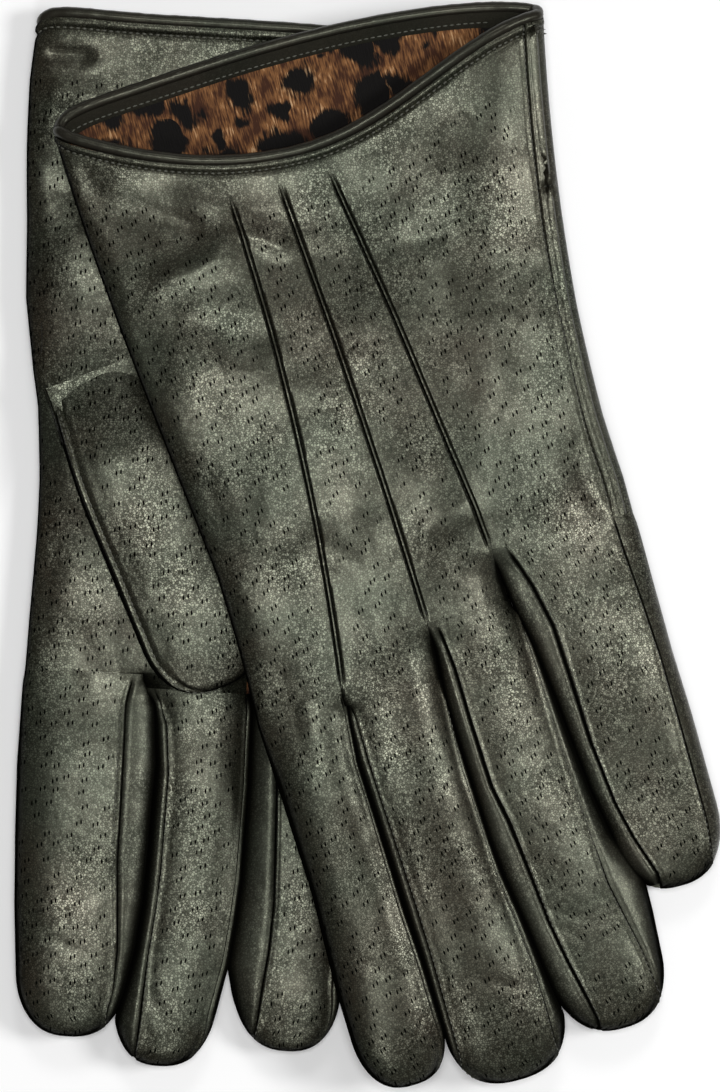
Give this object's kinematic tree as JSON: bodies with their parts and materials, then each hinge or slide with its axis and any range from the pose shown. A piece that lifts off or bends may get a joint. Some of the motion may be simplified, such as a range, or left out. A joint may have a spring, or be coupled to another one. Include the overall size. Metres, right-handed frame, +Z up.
{
  "type": "leather driving gloves",
  "caption": "Pair of lined leather driving gloves laid palm to palm, with perforated satin leather, stitched points, fourchettes, piped cuffs and a spotted pile lining.",
  "frame": {"origin": "under the middle of the pair's outline, on the surface it lies on", "axes": "+Z up from the surface, +Y from the fingertips to the cuffs, +X to the upper glove's side"},
  "size_m": [0.1598, 0.2429, 0.0284],
  "materials": {
    "leather": "satin",
    "fourchette": "satin",
    "binding": "satin",
    "lining": "matte"
  },
  "bodies": {
    "right_hand": {"right_back": "leather", "right_palm": "leather", "right_gusset": "leather", "right_binding": "binding", "right_lining_back": "lining", "right_lining_palm": "lining", "right_ring_back": "leather", "right_ring_palm": "leather", "right_ring_fourchettes": "fourchette", "right_ring_lining": "lining", "right_little_back": "leather", "right_little_palm": "leather", "right_little_fourchettes": "fourchette", "right_little_lining": "lining"},
    "right_index": {"right_index_back": "leather", "right_index_palm": "leather", "right_index_fourchettes": "fourchette", "right_index_lining": "lining"},
    "right_middle": {"right_middle_back": "leather", "right_middle_palm": "leather", "right_middle_fourchettes": "fourchette", "right_middle_lining": "lining"},
    "right_thumb": {"right_thumb_outer": "leather", "right_thumb_inner": "leather", "right_thumb_lining": "lining"},
    "left_hand": {"left_back": "leather", "left_palm": "leather", "left_gusset": "leather", "left_binding": "binding", "left_lining_back": "lining", "left_lining_palm": "lining", "left_thumb_outer": "leather", "left_thumb_inner": "leather", "left_thumb_lining": "lining"},
    "left_index": {"left_index_back": "leather", "left_index_palm": "leather", "left_index_fourchettes": "fourchette", "left_index_lining": "lining"},
    "left_middle": {"left_middle_back": "leather", "left_middle_palm": "leather", "left_middle_fourchettes": "fourchette", "left_middle_lining": "lining"},
    "left_ring": {"left_ring_back": "leather", "left_ring_palm": "leather", "left_ring_fourchettes": "fourchette", "left_ring_lining": "lining"},
    "left_little": {"left_little_back": "leather", "left_little_palm": "leather", "left_little_fourchettes": "fourchette", "left_little_lining": "lining"}
  },
  "joints": [
    {"name": "left_lift", "type": "slide", "parent": "right_hand", "child": "left_hand", "axis": [0, 0, 1], "range_m": [0, 0.08]},
    {"name": "left_index_bend", "type": "hinge", "parent": "left_hand", "child": "left_index", "pos_m": [-0.01574, -0.03524, 0.0277], "axis": [-0.9659, -0.2588, 0], "range_deg": [0, 70]},
    {"name": "left_middle_bend", "type": "hinge", "parent": "left_hand", "child": "left_middle", "pos_m": [0.006, -0.03252, 0.0277], "axis": [-0.9659, -0.2588, 0], "range_deg": [0, 70]},
    {"name": "left_ring_bend", "type": "hinge", "parent": "left_hand", "child": "left_ring", "pos_m": [0.02321, -0.01445, 0.02536], "axis": [-0.9392, -0.2516, 0.2337], "range_deg": [0, 70]},
    {"name": "left_little_bend", "type": "hinge", "parent": "left_hand", "child": "left_little", "pos_m": [0.04396, 0.00353, 0.01769], "axis": [-0.8615, -0.2308, 0.4522], "range_deg": [0, 70]},
    {"name": "right_index_bend", "type": "hinge", "parent": "right_hand", "child": "right_index", "pos_m": [-0.06652, -0.02793, 0.01015], "axis": [-0.9981, 0.0611, 0], "range_deg": [0, 70]},
    {"name": "right_middle_bend", "type": "hinge", "parent": "right_hand", "child": "right_middle", "pos_m": [-0.04396, -0.03232, 0.01015], "axis": [-0.9981, 0.0611, 0], "range_deg": [0, 70]},
    {"name": "right_thumb_swing", "type": "hinge", "parent": "right_hand", "child": "right_thumb", "pos_m": [-0.06253, 0.03895, 0.01385], "axis": [0, 0, 1], "range_deg": [-35, 0]}
  ]
}
